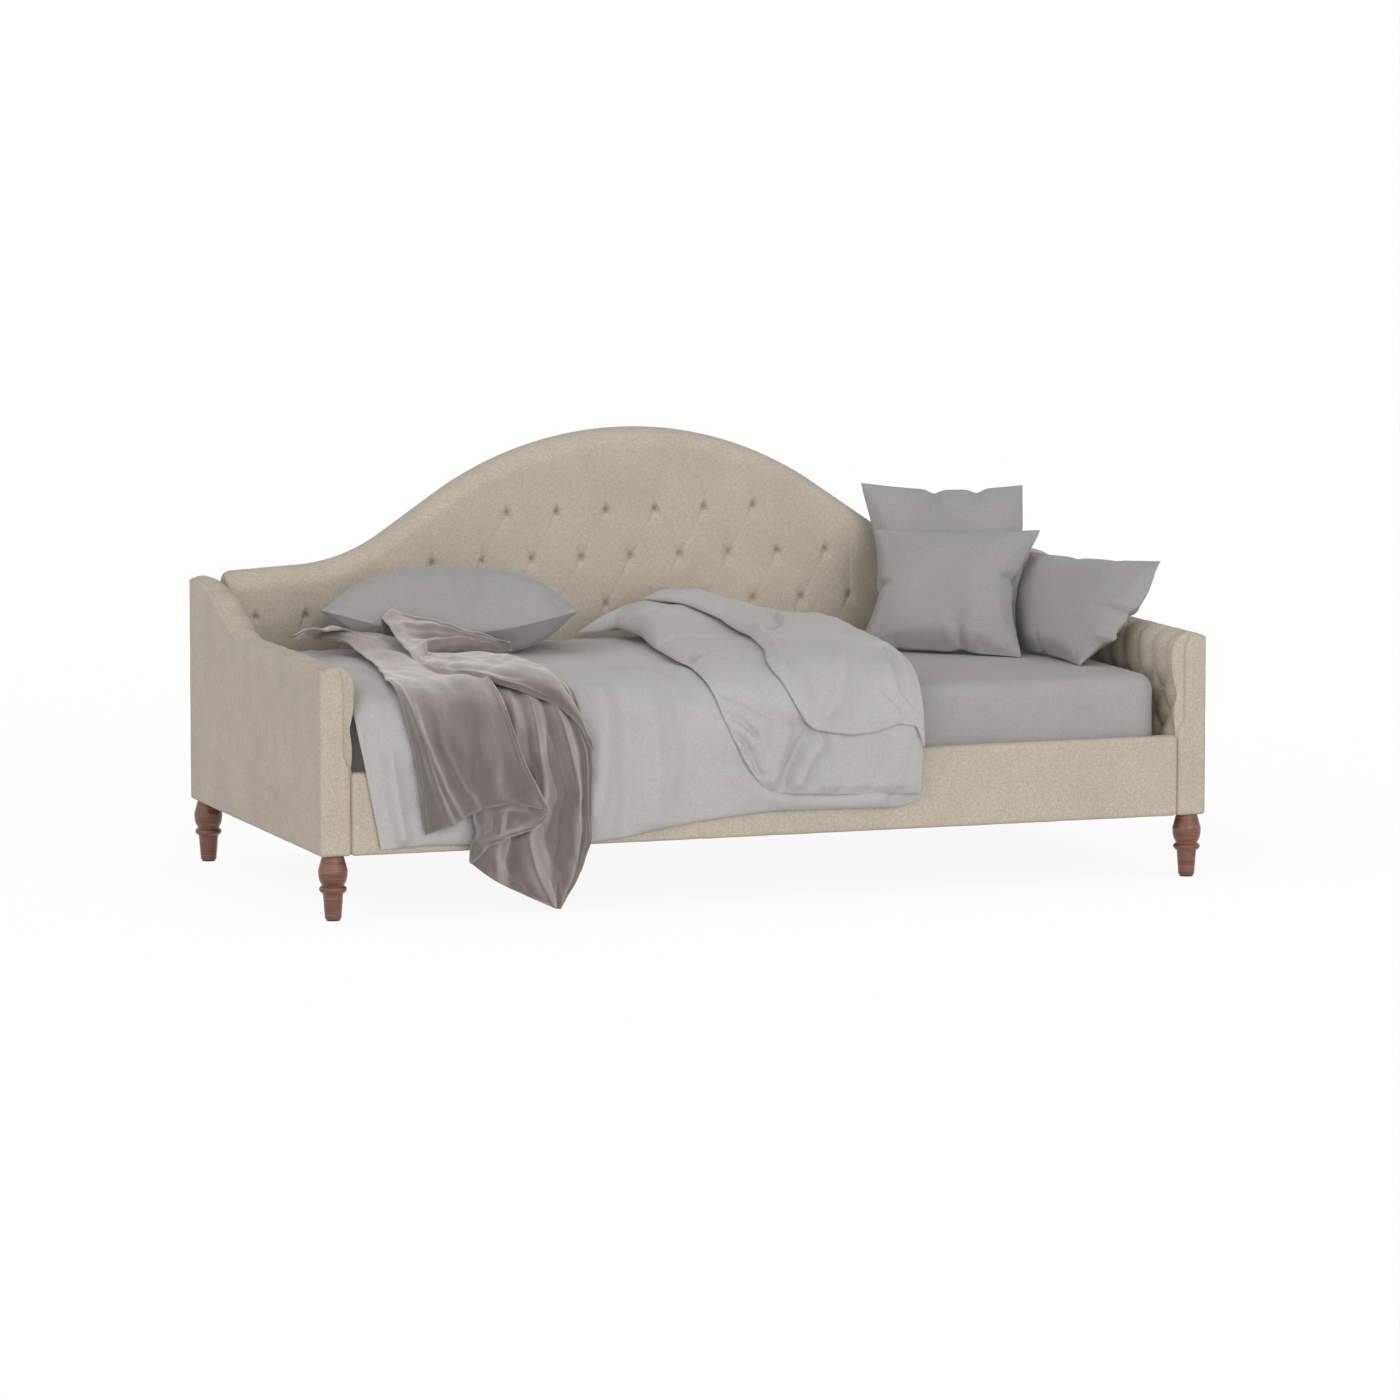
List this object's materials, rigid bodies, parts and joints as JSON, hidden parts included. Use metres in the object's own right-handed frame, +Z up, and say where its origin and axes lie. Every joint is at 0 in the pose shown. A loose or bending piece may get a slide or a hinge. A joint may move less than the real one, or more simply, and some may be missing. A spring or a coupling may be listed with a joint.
{
  "type": "daybed",
  "caption": "Upholstered camelback daybed with tufted back, swooping channel-tufted arms and turned legs, dressed with duvet, throw and pillows.",
  "frame": {"origin": "on the floor, under the middle of the dressed bed's bounding box", "axes": "+X along the bed towards the arm at the sitter's left, +Y towards the back, +Z up"},
  "size_m": [2.1, 1.1125, 0.98],
  "materials": {
    "linen": "matte woven linen",
    "frame_timber": "sawn pine",
    "hardboard": "hardboard",
    "slat_timber": "planed pine",
    "leg_wood": "satin reddish walnut stain",
    "steel": "zinc plated",
    "webbing": "woven tape",
    "glide": "matte",
    "ticking": "matte knitted ticking",
    "sheet": "matte cotton",
    "duvet_cover": "matte cotton",
    "throw_fabric": "satin-backed velvet"
  },
  "bodies": {
    "root": {"back_bottom_rail": "frame_timber", "back_top_rail": "frame_timber", "back_posts": "frame_timber", "back_board": "hardboard", "back_pad": "linen", "back_buttons": "linen", "back_cover": "linen", "left_arm_bottom_rail": "frame_timber", "left_arm_top_rail": "frame_timber", "left_arm_posts": "frame_timber", "left_arm_board": "hardboard", "left_arm_pad": "linen", "left_arm_buttons": "linen", "left_arm_cover": "linen", "right_arm_bottom_rail": "frame_timber", "right_arm_top_rail": "frame_timber", "right_arm_posts": "frame_timber", "right_arm_board": "hardboard", "right_arm_pad": "linen", "right_arm_buttons": "linen", "right_arm_cover": "linen", "front_rail_board": "frame_timber", "front_rail_cover": "linen", "front_ledger": "slat_timber", "back_ledger": "slat_timber", "ledger_screws": "steel", "slat_straps": "webbing", "leg_front_left": "leg_wood", "leg_front_right": "leg_wood", "leg_back_left": "leg_wood", "leg_back_right": "leg_wood", "leg_glides": "glide", "leg_bolts": "steel", "leg_tee_nuts": "steel", "corner_brackets": "steel", "bracket_bolts": "steel", "mattress": "ticking", "fitted_sheet": "sheet", "duvet": "duvet_cover", "throw_blanket": "throw_fabric", "bed_pillow": "sheet", "back_cushion": "sheet", "front_cushion": "sheet", "side_cushion": "sheet", "slat_1": "slat_timber", "slat_2": "slat_timber", "slat_3": "slat_timber", "slat_4": "slat_timber", "slat_5": "slat_timber", "slat_6": "slat_timber", "slat_7": "slat_timber", "slat_8": "slat_timber", "slat_9": "slat_timber", "slat_10": "slat_timber", "slat_11": "slat_timber", "slat_12": "slat_timber", "slat_13": "slat_timber", "slat_14": "slat_timber"}
  },
  "joints": []
}
